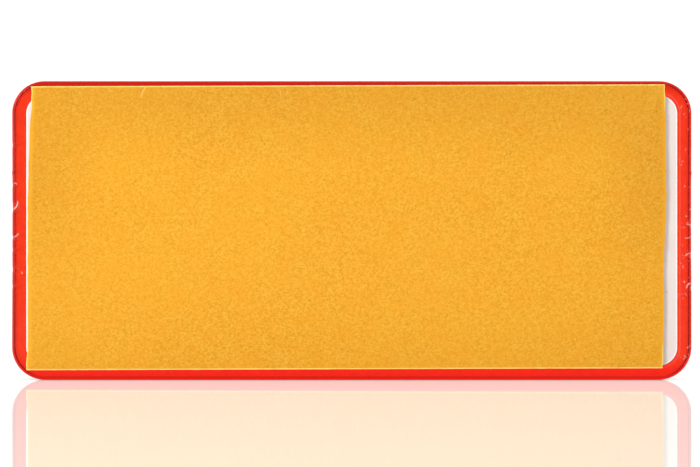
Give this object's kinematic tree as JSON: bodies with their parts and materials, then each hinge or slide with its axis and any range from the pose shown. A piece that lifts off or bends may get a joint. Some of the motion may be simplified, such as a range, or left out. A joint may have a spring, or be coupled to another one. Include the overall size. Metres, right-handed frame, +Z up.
{
  "type": "stick-on reflector",
  "caption": "Red rectangular reflex reflector with a white back plate, double-sided foam tape and a yellow paper liner that peels off.",
  "frame": {"origin": "bottom of the object, in the middle of its width and depth, as it stands on one long edge", "axes": "+Z up, +Y out of the lens's front, -Y out of the taped back, +X to the right when the back is looked at"},
  "size_m": [0.096, 0.0082, 0.0422],
  "materials": {
    "lens_acrylic": "clear red moulded acrylic, polished outside, corner-cube prisms inside",
    "plate_abs": "fine moulded satin white",
    "adhesive": "clear tacky acrylic adhesive film",
    "foam": null,
    "liner_paper": "silicone-coated kraft paper, yellow, faintly mottled"
  },
  "bodies": {
    "reflector": {"lens": "lens_acrylic", "back_plate": "plate_abs", "adhesive_inner": "adhesive", "foam_core": "foam", "adhesive_outer": "adhesive"},
    "liner": {"release_liner": "liner_paper"}
  },
  "joints": [
    {"name": "liner_peel", "type": "slide", "parent": "reflector", "child": "liner", "axis": [0, -1, 0], "range_m": [0, 0.06]}
  ]
}
